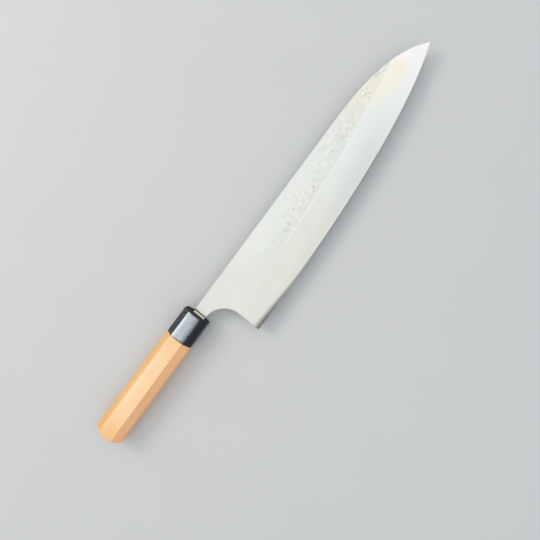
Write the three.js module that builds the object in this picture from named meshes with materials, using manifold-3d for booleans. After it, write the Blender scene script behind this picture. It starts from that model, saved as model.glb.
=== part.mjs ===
// Gyuto kitchen knife with a laminated blade and an octagonal handle, built piece by piece.
// All sizes are in millimetres.
// X runs from the butt to the tip, Y from the cutting edge to the spine, Z out of the blade's right face.
// While the pieces are made, X 0 is the ferrule's front face and the handle's axis is Y 0, Z 0.

import * as THREE from "three";
import { mergeVertices } from "three/addons/utils/BufferGeometryUtils.js";
import Module from "manifold-3d";

// Blade outline
const bladeLength = 270; // heel to tip
const heelHeight = 53.4; // spine to edge at the heel
const spineRise = 4.6; // spine above the handle's axis
const tipDrop = 24.5; // tip below the line of the spine
const spineDropLength = 89; // where the spine leaves its straight line, behind the tip
const spineDropPull = 24; // where the tip's tangent meets that line, behind the tip
const bellyLength = 74; // where the tip's tangent meets the flat of the edge, behind the tip
const bellyLift = 1.8; // rise of the edge from the heel to that point
const neckLength = 19.7; // seam to heel
const neckHeight = 11.6; // at the seam
const choilRadius = 20.9; // round between the neck and the back of the heel
const heelLean = 0.7; // how far the heel's corner stands behind the choil's deepest point

// Bevel line, given by its depth below the spine
const bevelDepthHeel = 32.2;
const bevelDepthThird = 27.8;
const bevelDepthTwoThirds = 20.9;
const bevelEnd = 28; // where it runs out at the spine, behind the tip
const flatShare = 0.03; // share of the height that stays flat past that point

// Blade thickness
const neckThickness = 3.4;
const spineThickness = 2.1; // where the spine starts to drop
const tipThickness = 0.7;
const flatTaper = 0.012; // thickness lost per millimetre of height above the bevel line
const edgeThickness = 0.12;
const coreThicknessNeck = 0.95;
const coreThicknessTip = 0.3;
const tipStub = 1; // length of the point that closes the blade

// Tang
const machiGap = 2; // bare tang between the ferrule and the seam
const tangHeight = 11;
const tangThickness = 2.9;
const tangDepth = 92; // length inside the handle
const tangEndHeight = 6;
const tangEndThickness = 2;
const tangPoint = 5; // length of the narrowed end
const tangPointShare = 0.5; // share of the height that is left at its end

// Handle
const handleLength = 134.3; // ferrule's front face to the butt
const ferruleLength = 26;
const frontWidth = 24.7; // along Y
const buttWidth = 26.8;
const frontDepth = 20.4; // along Z
const buttDepth = 22.2;
const facetCut = 6.2; // leg of the four corner facets
const frontChamfer = 0.5; // round the ferrule's mouth end
const domeRadius = 20; // of the butt

// Inside the handle
const ferruleWall = 4; // behind the ferrule's front face
const mouthClearance = 0.8; // round the tang in the ferrule's mouth
const sealRecess = 0.4; // of the seal below the ferrule's front face
const dowelInBody = 30;
const dowelWall = 1; // least wood between the dowel's slot and its outside
const slotClearance = 0.6; // round the tang in the dowel
const pilotClearance = 0.6; // round the tang in the hole drilled past the dowel
const pilotSpare = 6; // past the tang's end
const glueSpace = 0.6; // behind the dowel

// Gaps that stand for bonded faces
const weldGap = 0.02;
const glueGap = 0.1;

// Mesh fineness
const bladeStations = 72;
const roundSegments = 48;
const arcSegments = 24;

const seamX = machiGap;
const heelX = seamX + neckLength;
const tipX = heelX + bladeLength;
const tipY = spineRise - tipDrop;
const heelY = spineRise - heelHeight;
const neckUnderside = spineRise - neckHeight;
const jointX = -ferruleLength;
const dowelEnd = jointX - dowelInBody;
const pilotEnd = -(tangDepth + pilotSpare);
const { lerp, mapLinear } = THREE.MathUtils;

const wasm = await Module();
wasm.setup();

// A closed geometry as a solid that can be joined to or cut by another.
function solid(geometry) {
  const bare = geometry.clone();
  bare.deleteAttribute("normal");
  bare.deleteAttribute("uv");
  const merged = mergeVertices(bare, 1e-4);
  return new wasm.Manifold(
    new wasm.Mesh({
      numProp: 3,
      vertProperties: merged.attributes.position.array,
      triVerts: new Uint32Array(merged.index.array),
    }),
  );
}

// A joined or cut solid as geometry again.
function geometryOf(made) {
  const mesh = made.getMesh();
  const geometry = new THREE.BufferGeometry();
  geometry.setAttribute("position", new THREE.BufferAttribute(mesh.vertProperties, 3));
  geometry.setIndex(new THREE.BufferAttribute(mesh.triVerts, 1));
  geometry.computeVertexNormals();
  return geometry;
}

// A closed skin over sections of equal point count, taken from -X to +X.
// Each section runs counter-clockwise seen from +X, and apex closes the last one to a point.
function loft(sections, apex) {
  const count = sections[0].length;
  const points = sections.flat();
  const index = [];
  for (let s = 0; s < sections.length - 1; s++) {
    for (let j = 0; j < count; j++) {
      const k = (j + 1) % count;
      const here = s * count;
      const next = here + count;
      index.push(here + j, here + k, next + j, here + k, next + k, next + j);
    }
  }
  const last = (sections.length - 1) * count;
  for (let j = 1; j < count - 1; j++) index.push(0, j + 1, j);
  if (apex) {
    points.push(apex);
    for (let j = 0; j < count; j++) index.push(last + j, last + ((j + 1) % count), points.length - 1);
  } else {
    for (let j = 1; j < count - 1; j++) index.push(last, last + j, last + j + 1);
  }
  return new THREE.BufferGeometry().setFromPoints(points).setIndex(index);
}

// A section at x from pairs of Y and Z.
const section = (x, pairs) => pairs.map(([y, z]) => new THREE.Vector3(x, y, z));

// A round bar along X.
function rod(diameter, fromX, toX) {
  const bar = new THREE.CylinderGeometry(diameter / 2, diameter / 2, toX - fromX, roundSegments);
  return bar.rotateZ(-Math.PI / 2).translate((fromX + toX) / 2, 0, 0);
}

// A rectangular bar along X.
function bar(height, thickness, fromX, toX, y) {
  return new THREE.BoxGeometry(toX - fromX, height, thickness).translate((fromX + toX) / 2, y, 0);
}

// The Y of a curve that runs along X, found by halving.
function yAt(curve, x) {
  let low = 0;
  let high = 1;
  for (let i = 0; i < 40; i++) {
    const middle = (low + high) / 2;
    if (curve.getPoint(middle).x < x) low = middle;
    else high = middle;
  }
  return curve.getPoint(low).y;
}

// Blade: the outline's curves
const tip = new THREE.Vector2(tipX, tipY);
const dropX = tipX - spineDropLength;
const spineDrop = new THREE.QuadraticBezierCurve(
  new THREE.Vector2(dropX, spineRise),
  new THREE.Vector2(tipX - spineDropPull, spineRise),
  tip,
);
const edge = new THREE.QuadraticBezierCurve(
  new THREE.Vector2(heelX, heelY),
  new THREE.Vector2(tipX - bellyLength, heelY + bellyLift),
  tip,
);
const bevelEndX = tipX - bevelEnd;
const bevelLine = new THREE.SplineCurve([
  new THREE.Vector2(heelX, spineRise - bevelDepthHeel),
  new THREE.Vector2(lerp(heelX, bevelEndX, 1 / 3), spineRise - bevelDepthThird),
  new THREE.Vector2(lerp(heelX, bevelEndX, 2 / 3), spineRise - bevelDepthTwoThirds),
  new THREE.Vector2(bevelEndX, yAt(spineDrop, bevelEndX)),
]);

// Blade: the heights and half thicknesses at one station
function bladeAt(x) {
  const spine = x < dropX ? spineRise : yAt(spineDrop, x);
  const foot = x < heelX ? heelY : yAt(edge, x);
  const line = x < heelX ? spineRise - bevelDepthHeel : yAt(bevelLine, Math.min(x, bevelEndX));
  const bevel = Math.min(line, lerp(spine, foot, flatShare));
  const thickness =
    x < dropX
      ? mapLinear(x, seamX, dropX, neckThickness, spineThickness)
      : mapLinear(x, dropX, tipX, spineThickness, tipThickness);
  const half = thickness / 2;
  const bevelHalf = half - (flatTaper * (spine - bevel)) / 2;
  const core = mapLinear(x, seamX, tipX, coreThicknessNeck, coreThicknessTip) / 2;
  return { spine, foot, bevel, half, bevelHalf, core };
}

// The height on the bevel where the blade is twice as thick as z.
const bevelHeight = (at, z) => mapLinear(z, at.bevelHalf, edgeThickness / 2, at.bevel, at.foot);

function coreSection(x) {
  const at = bladeAt(x);
  const e = edgeThickness / 2;
  const show = bevelHeight(at, at.core);
  return section(x, [
    [at.spine, -at.core],
    [at.spine, at.core],
    [show, at.core],
    [at.foot, e],
    [at.foot, -e],
    [show, -at.core],
  ]);
}

function claddingSection(x, side) {
  const at = bladeAt(x);
  const inner = at.core + weldGap;
  const pairs = [
    [at.spine, inner],
    [at.spine, at.half],
    [at.bevel, at.bevelHalf],
    [bevelHeight(at, inner), inner],
  ];
  return section(x, side > 0 ? pairs : pairs.map(([y, z]) => [y, -z]).reverse());
}

// Stations from the seam to just short of the tip
const stations = [];
for (let i = 0; i <= bladeStations; i++) stations.push(lerp(seamX, tipX - tipStub, i / bladeStations));

// The waste behind the heel and under the neck
const choilX = heelX + heelLean - choilRadius;
const choilY = neckUnderside - choilRadius;
const waste = new THREE.Shape();
waste.moveTo(seamX - 10, neckUnderside);
waste.lineTo(Math.min(choilX, seamX - 1), neckUnderside);
waste.absarc(choilX, choilY, choilRadius, Math.PI / 2, 0, true);
waste.lineTo(heelX, heelY);
waste.lineTo(heelX, heelY - 10);
waste.lineTo(seamX - 10, heelY - 10);
const wasteDepth = neckThickness * 2;
const choilCutter = solid(
  new THREE.ExtrudeGeometry(waste, {
    depth: wasteDepth,
    bevelEnabled: false,
    curveSegments: arcSegments,
  }).translate(0, 0, -wasteDepth / 2),
);
const profiled = (geometry) => geometryOf(solid(geometry).subtract(choilCutter));

const claddingTip = (side) =>
  new THREE.Vector3(tipX - tipStub / 2, tipY, (side * (coreThicknessTip + tipThickness)) / 4);
const coreSteel = profiled(loft(stations.map(coreSection), new THREE.Vector3(tipX, tipY, 0)));
const claddings = [1, -1].map((side) =>
  profiled(
    loft(
      stations.map((x) => claddingSection(x, side)),
      claddingTip(side),
    ),
  ),
);

// Tang: the middle, half height and half thickness of the tapered bar at x
const neckMiddle = (spineRise + neckUnderside) / 2;
const tangFront = seamX - weldGap;
function tangAt(x) {
  return {
    y: mapLinear(x, tangFront, -tangDepth, neckMiddle, 0),
    h: mapLinear(x, tangFront, -tangDepth, tangHeight, tangEndHeight) / 2,
    t: mapLinear(x, tangFront, -tangDepth, tangThickness, tangEndThickness) / 2,
  };
}

// The tang from its end to the seam, larger all round by grow
function tangBar(grow) {
  const ring = (x, at, share) => {
    const h = at.h * share + grow;
    const t = at.t + grow;
    return section(x, [
      [at.y + h, -t],
      [at.y + h, t],
      [at.y - h, t],
      [at.y - h, -t],
    ]);
  };
  const shoulder = -tangDepth + tangPoint;
  return loft([
    ring(-tangDepth - grow, tangAt(-tangDepth), tangPointShare),
    ring(shoulder - grow, tangAt(shoulder), 1),
    ring(tangFront, tangAt(tangFront), 1),
  ]);
}
const tang = tangBar(0);
const tangRoom = solid(tangBar(glueGap));

// Handle: the octagon at x, drawn in from its faces by inset
function octagon(x, inset = 0) {
  const w = mapLinear(x, 0, -handleLength, frontWidth, buttWidth) / 2 - inset;
  const t = mapLinear(x, 0, -handleLength, frontDepth, buttDepth) / 2 - inset;
  const k = facetCut - inset * (2 - Math.SQRT2);
  return section(x, [
    [w, k - t],
    [w, t - k],
    [w - k, t],
    [k - w, t],
    [-w, t - k],
    [-w, k - t],
    [k - w, -t],
    [w - k, -t],
  ]);
}

// Room for the tang: the dowel's slot, the dowel round it and the pilot hole past it
const slotHeight = tangHeight + 2 * slotClearance;
const slotThickness = tangThickness + 2 * slotClearance;
const slotReach = Math.hypot(slotHeight / 2 + Math.abs(neckMiddle), slotThickness / 2);
const dowelDiameter = 2 * (slotReach + dowelWall);
const tangPastDowel = tangAt(dowelEnd);
const pilotReach = Math.hypot(tangPastDowel.h + Math.abs(tangPastDowel.y), tangPastDowel.t);
const pilotDiameter = 2 * (pilotReach + pilotClearance);

// Ferrule, bored from behind for the dowel and slotted in front for the tang
const mouthHeight = tangHeight + 2 * mouthClearance;
const mouthThickness = tangThickness + 2 * mouthClearance;
const ferrule = geometryOf(
  solid(loft([octagon(jointX), octagon(-frontChamfer), octagon(0, frontChamfer)]))
    .subtract(solid(rod(dowelDiameter + 2 * glueGap, jointX - 1, -ferruleWall)))
    .subtract(solid(bar(mouthHeight, mouthThickness, -ferruleWall - 1, 1, neckMiddle))),
);

// Seal between the tang and the ferrule's mouth
const sealBar = bar(
  mouthHeight - 2 * glueGap,
  mouthThickness - 2 * glueGap,
  -ferruleWall,
  -sealRecess,
  neckMiddle,
);
const mouthSeal = geometryOf(solid(sealBar).subtract(tangRoom));

// Dowel, slotted right through for the tang
const dowelFront = -ferruleWall - glueGap;
const dowel = geometryOf(
  solid(rod(dowelDiameter, dowelEnd, dowelFront)).subtract(
    solid(bar(slotHeight, slotThickness, dowelEnd - 1, dowelFront + 1, neckMiddle)),
  ),
);

// Bedding round the tang, in the dowel's slot and in the pilot hole behind it
const slotFill = bar(
  slotHeight - 2 * glueGap,
  slotThickness - 2 * glueGap,
  dowelEnd - glueSpace / 2,
  dowelFront,
  neckMiddle,
);
const pilotFill = rod(pilotDiameter - 2 * glueGap, pilotEnd + glueGap, dowelEnd - glueGap);
const tangBedding = geometryOf(solid(slotFill).add(solid(pilotFill)).subtract(tangRoom));

// Handle body, domed at the butt and drilled for the dowel and the tang's end
const domeProfile = [];
for (let i = 0; i <= arcSegments; i++) {
  const angle = ((Math.PI / 2) * i) / arcSegments;
  const radius = domeRadius * Math.sin(angle);
  domeProfile.push(new THREE.Vector2(radius, domeRadius * (1 - Math.cos(angle))));
}
domeProfile.push(new THREE.Vector2(domeRadius, handleLength));
domeProfile.push(new THREE.Vector2(0, handleLength));
const dome = new THREE.LatheGeometry(domeProfile, roundSegments)
  .rotateZ(-Math.PI / 2)
  .translate(-handleLength, 0, 0);
const handleBody = geometryOf(
  solid(loft([octagon(-handleLength), octagon(jointX - glueGap)]))
    .intersect(solid(dome))
    .subtract(solid(rod(dowelDiameter + 2 * glueGap, dowelEnd - glueSpace, jointX + 1)))
    .subtract(solid(rod(pilotDiameter, pilotEnd, dowelEnd))),
);

// The pieces in their groups
const material = (color, metalness, roughness) =>
  new THREE.MeshStandardMaterial({ color, metalness, roughness });
function piece(group, name, geometry, look) {
  const mesh = new THREE.Mesh(geometry, look);
  mesh.name = name;
  group.add(mesh);
}
const blade = new THREE.Group();
blade.name = "blade";
piece(blade, "core_steel", coreSteel, material(0xb9bfc4, 1, 0.25));
piece(blade, "right_cladding", claddings[0], material(0xd6d6d0, 1, 0.4));
piece(blade, "left_cladding", claddings[1], material(0xd6d6d0, 1, 0.4));
piece(blade, "tang", tang, material(0xc9bfa6, 1, 0.5));

const handle = new THREE.Group();
handle.name = "handle";
piece(handle, "ferrule", ferrule, material(0x1b1c21, 0, 0.3));
piece(handle, "mouth_seal", mouthSeal, material(0x4a3320, 0, 0.6));
piece(handle, "dowel", dowel, material(0xa9794a, 0, 0.7));
piece(handle, "tang_bedding", tangBedding, material(0xc8b890, 0, 0.4));
piece(handle, "handle_body", handleBody, material(0xe6bd85, 0, 0.55));

// Moved so that the origin is the middle of the underside, with the blade level
const parts = new THREE.Group();
parts.add(blade, handle);
const bounds = new THREE.Box3().setFromObject(parts);
const middle = bounds.getCenter(new THREE.Vector3());
parts.position.set(-middle.x, -middle.y, -bounds.min.z);

const knife = new THREE.Group();
knife.name = "gyuto_knife";
knife.add(parts);

export default knife;
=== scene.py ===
"""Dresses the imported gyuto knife: its steel, horn and wood, built round the CAD frame.

All lengths are metres in the frame's own axes.
X runs from the butt to the tip, Y from the cutting edge to the spine, Z out of the blade's right face.
"""

import bisect
import math

import bmesh
import bpy
from bpy.props import FloatProperty, FloatVectorProperty, PointerProperty
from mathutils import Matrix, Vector, noise


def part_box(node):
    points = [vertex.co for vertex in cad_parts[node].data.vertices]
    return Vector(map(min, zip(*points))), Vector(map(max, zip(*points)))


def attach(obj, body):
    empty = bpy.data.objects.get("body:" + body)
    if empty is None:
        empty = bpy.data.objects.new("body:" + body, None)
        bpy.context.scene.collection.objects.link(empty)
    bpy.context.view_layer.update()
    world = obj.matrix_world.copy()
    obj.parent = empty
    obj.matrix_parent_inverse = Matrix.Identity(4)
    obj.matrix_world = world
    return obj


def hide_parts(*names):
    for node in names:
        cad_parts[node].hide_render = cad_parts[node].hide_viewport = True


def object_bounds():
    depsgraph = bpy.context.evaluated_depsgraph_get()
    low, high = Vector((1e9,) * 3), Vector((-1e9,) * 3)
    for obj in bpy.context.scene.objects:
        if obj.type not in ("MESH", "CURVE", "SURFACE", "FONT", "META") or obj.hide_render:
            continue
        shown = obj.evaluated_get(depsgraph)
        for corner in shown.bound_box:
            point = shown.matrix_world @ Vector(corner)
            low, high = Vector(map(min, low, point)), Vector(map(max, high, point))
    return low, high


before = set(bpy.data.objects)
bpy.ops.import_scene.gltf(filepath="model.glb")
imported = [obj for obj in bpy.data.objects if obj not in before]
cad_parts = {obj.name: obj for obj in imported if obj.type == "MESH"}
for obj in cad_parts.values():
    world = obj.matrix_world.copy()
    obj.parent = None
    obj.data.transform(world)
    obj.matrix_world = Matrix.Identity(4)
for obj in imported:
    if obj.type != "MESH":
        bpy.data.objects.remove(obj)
cad_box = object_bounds()

bl_info = {
    "name": "Gyuto knife",
    "version": (1, 0, 0),
    "blender": (4, 5, 0),
    "location": "3D View > Sidebar > Gyuto",
    "description": "Builds the visible pieces of a gyuto knife round its CAD frame",
    "category": "Object",
}

MM = 0.001
SIDES = {"right_cladding": 1, "left_cladding": -1}

# Order of a cladding's materials: its flat, its bevel and its arrises.
PEAR_SKIN, STONE_GROUND, BURNISHED = range(3)

# Setting of a map range that eases in and out.
SMOOTH = {"interpolation_type": "SMOOTHSTEP"}

# Fineness of the meshes.
CHOIL_STATIONS = 30
BLADE_STATIONS = 300
FLAT_ROWS = 34
BEVEL_ROWS = 20
CORE_ROWS = 9
EASE_STEPS = 4
CURVE_STEPS = 200
FACETS = 8
CORNER_POINTS = 5
FACET_POINTS = 6
RING_POINTS = FACETS * (CORNER_POINTS + FACET_POINTS)
FERRULE_RINGS = 12
BODY_RINGS = 24
DOME_EASE_RINGS = 5
DOME_RINGS = 9
RIDGE_FADE_RINGS = 2
TANG_RINGS = 8
MERGE_DISTANCE = 1e-7
SMALLEST_HEIGHT = 1e-9
SHARP_ANGLE = math.radians(32)

# Spots of painted straw reflection on the bevel: behind the tip, below the spine, squeeze along X, reach
# and strength.
STRAW_REFLECTION_SPOTS = ((45 * MM, 17 * MM, 0.4, 13 * MM, 0.45), (30 * MM, 15 * MM, 0.7, 9 * MM, 0.6))

# Hairline joints between the welded and glued pieces.
WELD_GAP = 0.01 * MM
GLUE_GAP = 0.1 * MM

# Blade: the seam's eased rim, and how far claddings and core stop behind the tip.
SEAM_EASE = 0.12 * MM
CLADDING_STOP = 0.5 * MM
CORE_STOP = 0.05 * MM
# Step from the covered core out to its bare face, and share of a cladding that its ease may take.
CORE_STEP = 0.01 * MM
EASE_SHARE = 0.4
# A bevel lower than the first has less crown, and the heel's lean fades out over the second.
CROWN_FADE = 15 * MM
LEAN_FADE = 14 * MM
# The core's line wavers slowly and quickly: length of a wave, share of the bevel's height.
SLOW_WAVER = (21 * MM, 0.035)
QUICK_WAVER = (6 * MM, 0.012)
# How strongly stations gather towards the tip and rows towards the bevel line.
TIP_BUNCHING = 0.28
ROW_BUNCHING = 1.3

# Handle: insets of the eased rims where ferrule and body meet, at the face and at the corner.
JOINT_INSETS = (0.15 * MM, 0.05 * MM)
# Length of the ferrule's eased rim, and how far the body's corner lies behind its face.
FERRULE_EASE = 0.1 * MM
BODY_CORNER = 0.03 * MM
# Shares of the chamfer's size: distance behind the front face and inset of its first rings.
CHAMFER_SHARES = ((1.4, 0.0), (1.1, 0.03), (0.8, 0.22))
# Eased mouth of the ferrule: depth below the front face, widening and corner radius.
MOUTH_CORNER = 0.8 * MM
MOUTH_EASE = (
    (0.0, 0.5 * MM, 1.0 * MM),
    (0.08 * MM, 0.16 * MM, 0.9 * MM),
    (0.3 * MM, 0.0, MOUTH_CORNER),
)
# Dip and corner radius of the wax, and the bore's spare length past the dowel.
WAX_DIP = 0.3 * MM
WAX_CORNER = 0.5 * MM
BORE_SPARE = 0.6 * MM
# Tang: corner radius, share of its height at the point, and shrink and length of its eased ends.
TANG_CORNER = 0.35 * MM
POINT_SHARE = 0.5
POINT_EASE = (0.4 * MM, 0.3 * MM)
TANG_SEAM_EASE = (0.3 * MM, 0.15 * MM)
# How far behind the seam the tang's last even ring lies.
LAST_TANG_RING = 3 * MM

# Stage: the floor, and each lamp's place, side lengths and radiance.
FLOOR_RADIUS = 6.0
FLOOR_SIDES = 96
KEY_PLACE = (-0.15, 0.95, 0.8)
KEY_SIDES = (0.5, 0.5)
KEY_RADIANCE = 6.0
CARD_PLACE = (-0.48, 0.645, 0.7)
CARD_AIM = (-0.48, 0.253, 0.0215)
CARD_SIDES = (0.54, 1.4)
CARD_RADIANCE = 12.8
# Camera: width of its sensor in millimetres, and its nearest visible distance.
SENSOR_WIDTH = 36.0
NEAREST_VIEW = 10 * MM


def linear(code):
    """An sRGB hex colour as linear red, green, blue and alpha."""
    parts = [int(code[i : i + 2], 16) / 255 for i in (1, 3, 5)]
    return (*(c / 12.92 if c <= 0.04045 else ((c + 0.055) / 1.055) ** 2.4 for c in parts), 1.0)


def size(name, description, millimetres):
    """A length that a user may change, written in millimetres."""
    return FloatProperty(
        name=name,
        description=description,
        default=millimetres * MM,
        min=0.0,
        unit="LENGTH",
        precision=5,
    )


def colour(name, description, code):
    """A colour that a user may change, written as sRGB hex."""
    return FloatVectorProperty(
        name=name,
        description=description,
        default=linear(code),
        size=4,
        min=0.0,
        max=1.0,
        subtype="COLOR",
    )


class BladeSizes(bpy.types.PropertyGroup):
    """Sizes that the blade's outline and grind are drawn from."""

    tip_drop: size("Tip drop", "Tip below the line of the spine", 24.5)
    spine_drop_length: size("Spine drop length", "Length over which the spine drops to the tip", 89)
    spine_drop_pull: size("Spine drop pull", "Where the tip's tangent meets the spine's line", 24)
    belly_length: size("Belly length", "Where the tip's tangent meets the flat of the edge", 74)
    belly_lift: size("Belly lift", "Rise of the edge from the heel to that point", 1.8)
    neck_length: size("Neck length", "Seam to heel", 19.7)
    neck_height: size("Neck height", "Height of the blade at the seam", 11.6)
    choil_radius: size("Choil radius", "Round between the neck and the heel", 20.9)
    heel_lean: size("Heel lean", "Heel's corner behind the choil's deepest point", 0.7)
    ridge_third: size("Bevel line, third", "Bevel line below the spine, a third along", 27.8)
    ridge_two_thirds: size("Bevel line, two thirds", "Bevel line below the spine, two thirds along", 20.9)
    ridge_end: size("Bevel line end", "Where the bevel line meets the spine, behind the tip", 28)
    neck_thickness: size("Neck thickness", "Blade thickness at the seam", 3.4)
    spine_thickness: size("Spine thickness", "Blade thickness where the spine starts to drop", 2.1)
    tip_thickness: size("Tip thickness", "Blade thickness at the tip", 0.7)
    core_neck: size("Core at the neck", "Thickness of the core steel at the seam", 0.7)
    core_tip: size("Core at the tip", "Thickness of the core steel at the tip", 0.2)
    edge_land: size("Edge land", "Thickness left at the cutting edge", 0.03)
    micro_bevel: size("Micro bevel", "Height of the honed strip at the cutting edge", 0.6)
    crown: size("Bevel crown", "How far the bevel bulges between its line and the edge", 0.07)
    ease: size("Eased arris", "Radius of the eased spine and choil", 0.3)
    flat_taper: FloatProperty(
        name="Flat taper",
        description="Thickness lost per length of height above the bevel line",
        default=0.012,
        subtype="FACTOR",
    )
    core_show: FloatProperty(
        name="Core showing",
        description="Share of the bevel's height where the core steel shows",
        default=0.27,
        subtype="FACTOR",
    )


class HandleSizes(bpy.types.PropertyGroup):
    """Sizes that the octagonal handle and its ferrule are drawn from."""

    front_width: size("Front width", "Across the octagon at the front, along Y", 24.7)
    butt_width: size("Butt width", "Across the octagon at the butt, along Y", 26.8)
    front_depth: size("Front depth", "Across the octagon at the front, along Z", 20.4)
    butt_depth: size("Butt depth", "Across the octagon at the butt, along Z", 22.2)
    facet_cut: size("Facet cut", "Leg of the four corner facets", 6.2)
    arris_radius: size("Arris radius", "Round along the handle's ridges", 0.8)
    facet_crown: size("Facet crown", "Radius of the bulge that sanding leaves across a facet", 60)
    front_chamfer: size("Front chamfer", "Chamfer round the ferrule's front", 0.5)
    dome_radius: size("Dome radius", "Radius of the domed butt", 20)
    dome_ease: size("Dome ease", "Round between the facets and the domed butt", 0.9)
    ferrule_wall: size("Ferrule wall", "Horn left behind the ferrule's front face", 4)
    mouth_height: size("Mouth height", "Slot for the tang in the ferrule, along Y", 12.6)
    mouth_width: size("Mouth width", "Slot for the tang in the ferrule, along Z", 4.5)
    pilot_radius: size("Pilot radius", "Hole for the end of the tang", 5.2)
    tang_height: size("Tang height", "Tang at the seam, along Y", 11)
    tang_thickness: size("Tang thickness", "Tang at the seam, along Z", 2.9)
    tang_end_height: size("Tang end height", "Tang before its point, along Y", 6)
    tang_end_thickness: size("Tang end thickness", "Tang at its end, along Z", 2)
    tang_point: size("Tang point", "Length of the tang's narrowed end", 5)


class Finishes(bpy.types.PropertyGroup):
    """Colours of the steel, horn, wood and glue."""

    flat_steel: colour("Flat steel", "Cladding near the spine", "#ECEFEB")
    grain_steel: colour("Grain steel", "Cladding in the pear-skin band above the bevel line", "#E3E6E0")
    neck_steel: colour("Neck steel", "Cladding near the neck", "#E7E8E2")
    bevel_steel: colour("Bevel steel", "Ground bevel near the heel", "#E5E6DE")
    # The cool tint of the front half and the white of the tip are painted reflection.
    bevel_haze_and_reflection: colour("Bevel haze", "Ground bevel in the blade's front half", "#E9EFED")
    bevel_tip: colour("Bevel tip", "Ground bevel at the tip", "#FFFFFF")
    honed_steel: colour("Honed steel", "Steel just above the cutting edge", "#CDD0CD")
    # The heel's colour is painted shade on its corner.
    heel_painted_shade: colour("Heel steel", "Heel's corner, dulled on the stone", "#6E6E69")
    # The straw tint is painted reflection.
    straw_reflection: colour("Heat straw", "Straw tint where the grinding warmed the steel", "#FBF1D2")
    seam_brown: colour("Heat brown", "Brown tint along the welded seam", "#54432F")
    tang_steel: colour("Tang steel", "Bare tang between blade and ferrule", "#FFFAF0")
    horn: colour("Horn", "Black buffalo horn", "#0D0F17")
    horn_streak: colour("Horn streak", "Paler streaks in the horn", "#242835")
    wood_pale: colour("Wood, pale", "Early wood of the handle", "#FAE0BA")
    wood_warm: colour("Wood, warm", "Late wood of the handle", "#F0BE84")
    wax: colour("Seal wax", "Dark wax round the tang", "#1E1813")


class StageSizes(bpy.types.PropertyGroup):
    """The floor, the lamps and the camera."""

    floor: colour("Floor", "Colour of the plain floor", "#CDD0D2")
    zenith: colour("Sky overhead", "Colour of the light from straight above", "#FFFFFF")
    horizon: colour("Sky at the horizon", "Colour of the light from the sides", "#95989B")
    camera_place: FloatVectorProperty(
        name="Camera place",
        description="Where the camera stands",
        default=(0.02411, -0.05796, 0.45736),
        subtype="TRANSLATION",
        unit="LENGTH",
    )
    camera_turn: FloatVectorProperty(
        name="Camera turn",
        description="Turn of the camera about X, Y and Z, Z first",
        default=(math.radians(6.284), math.radians(4.517), math.radians(-53.195)),
        subtype="EULER",
    )
    focal_length: FloatProperty(
        name="Focal length",
        description="Focal length in millimetres on a 36 mm sensor",
        default=35.975,
        unit="CAMERA",
    )


# Node materials.


def add(tree, kind, inputs=None, out=0, **settings):
    """Add a shader node, set its options, fill or link its inputs, and return one output."""
    made = tree.nodes.new("ShaderNode" + kind)
    for name, value in settings.items():
        setattr(made, name, value)
    for key, value in (inputs or {}).items():
        if isinstance(value, bpy.types.NodeSocket):
            tree.links.new(value, made.inputs[key])
        else:
            made.inputs[key].default_value = value
    return made.outputs[out] if made.outputs else made


def new_material(name):
    """An empty node material and its tree."""
    material = bpy.data.materials.new(name)
    material.use_nodes = True
    material.node_tree.nodes.clear()
    return material, material.node_tree


def grain(tree, place, stretch, width, detail):
    """Noise of a given width, drawn out along an axis as strokes, streaks and fibres run."""
    drawn_out = add(tree, "VectorMath", {0: place, 1: stretch}, operation="MULTIPLY")
    return add(tree, "TexNoise", {"Vector": drawn_out, "Scale": 1 / width, "Detail": detail})


def oil_film(tree, place, tone):
    """Let a tone drift a little, as a trace of oil makes it on steel."""
    film = add(tree, "TexNoise", {"Vector": place, "Scale": 1 / (17 * MM), "Detail": 1.0}, out="Color")
    return add(tree, "MixRGB", {0: 0.09, 1: tone, 2: film}, blend_type="SOFT_LIGHT")


def surface(tree, tone, pattern, rough, relief, **more):
    """Close a material with a tone and with a pattern in its roughness and its relief.

    Rough holds the roughness where the pattern is low and high, relief its depth and strength.
    """
    depth, strength = relief
    roughness = add(tree, "MapRange", {0: pattern, 3: rough[0], 4: rough[1]})
    normal = add(tree, "Bump", {"Height": pattern, "Distance": depth, "Strength": strength})
    finish = {"Base Color": tone, "Roughness": roughness, "Normal": normal, **more}
    add(tree, "OutputMaterial", {"Surface": add(tree, "BsdfPrincipled", finish)})


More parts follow.
